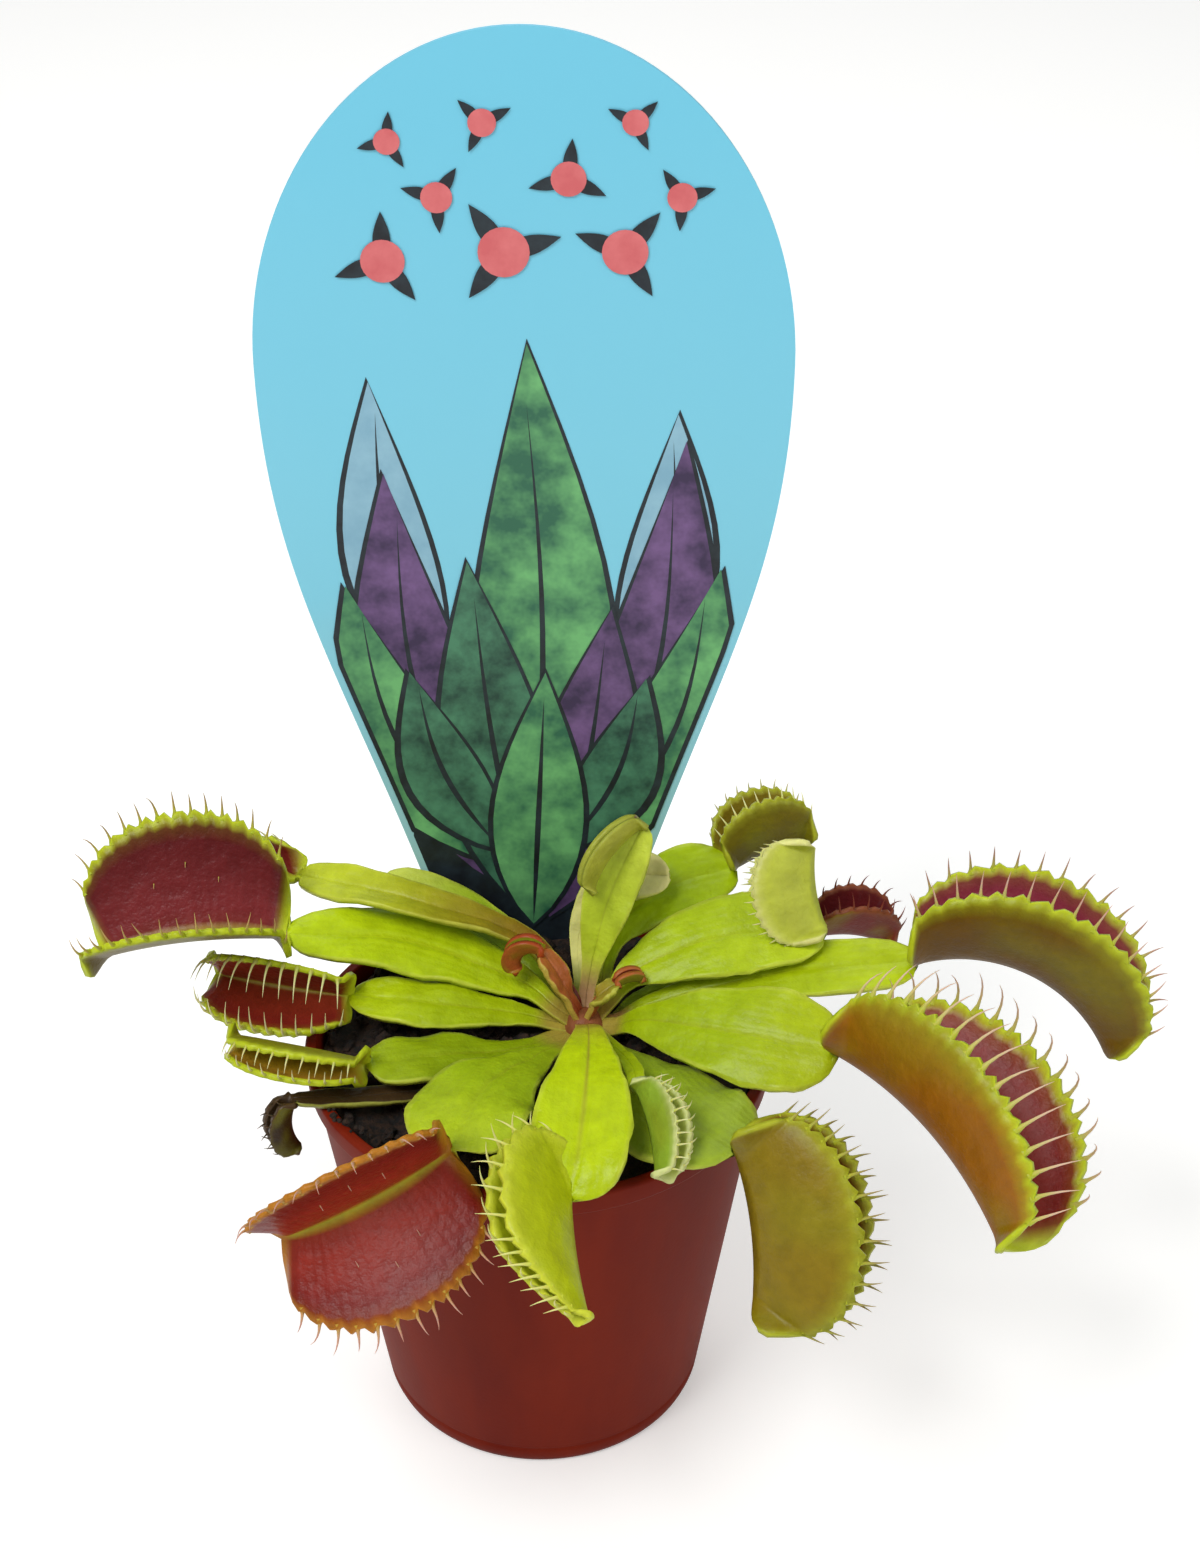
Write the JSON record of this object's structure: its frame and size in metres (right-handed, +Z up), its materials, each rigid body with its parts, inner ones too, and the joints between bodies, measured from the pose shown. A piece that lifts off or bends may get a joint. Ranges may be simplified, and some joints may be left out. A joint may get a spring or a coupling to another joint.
{
  "type": "potted venus flytrap",
  "caption": "Venus flytrap rosette with open and closed traps in a small tapered nursery pot of peat, with a tall teardrop plant label.",
  "frame": {"origin": "centre of the pot's flat underside", "axes": "+Z up through the pot, -Y towards the side that the label's printed face looks to"},
  "size_m": [0.13, 0.0729, 0.1629],
  "materials": {
    "terracotta_plastic": "satin moulded polypropylene",
    "peat": "damp loose peat",
    "crown_tissue": "satin plant tissue",
    "label_plastic": "printed sheet polystyrene",
    "leaf_green": "waxy living leaf"
  },
  "bodies": {
    "root": {"pot": "terracotta_plastic", "soil": "peat", "crown": "crown_tissue", "plant_label": "label_plastic", "leaf_left": "leaf_green", "leaf_left_back": "leaf_green", "leaf_left_low": "leaf_green", "leaf_left_front": "leaf_green", "leaf_front_left": "leaf_green", "leaf_front": "leaf_green", "leaf_front_right": "leaf_green", "leaf_right": "leaf_green", "leaf_far_right": "leaf_green", "leaf_right_back": "leaf_green", "leaf_back": "leaf_green", "leaf_back_low": "leaf_green", "leaf_centre": "leaf_green", "leaf_back_left": "leaf_green", "leaf_small_front": "leaf_green", "leaf_young_hook": "leaf_green", "leaf_young_bud": "leaf_green", "leaf_small_back_left": "leaf_green", "leaf_narrow_back": "leaf_green", "leaf_dead": "leaf_green"}
  },
  "joints": []
}
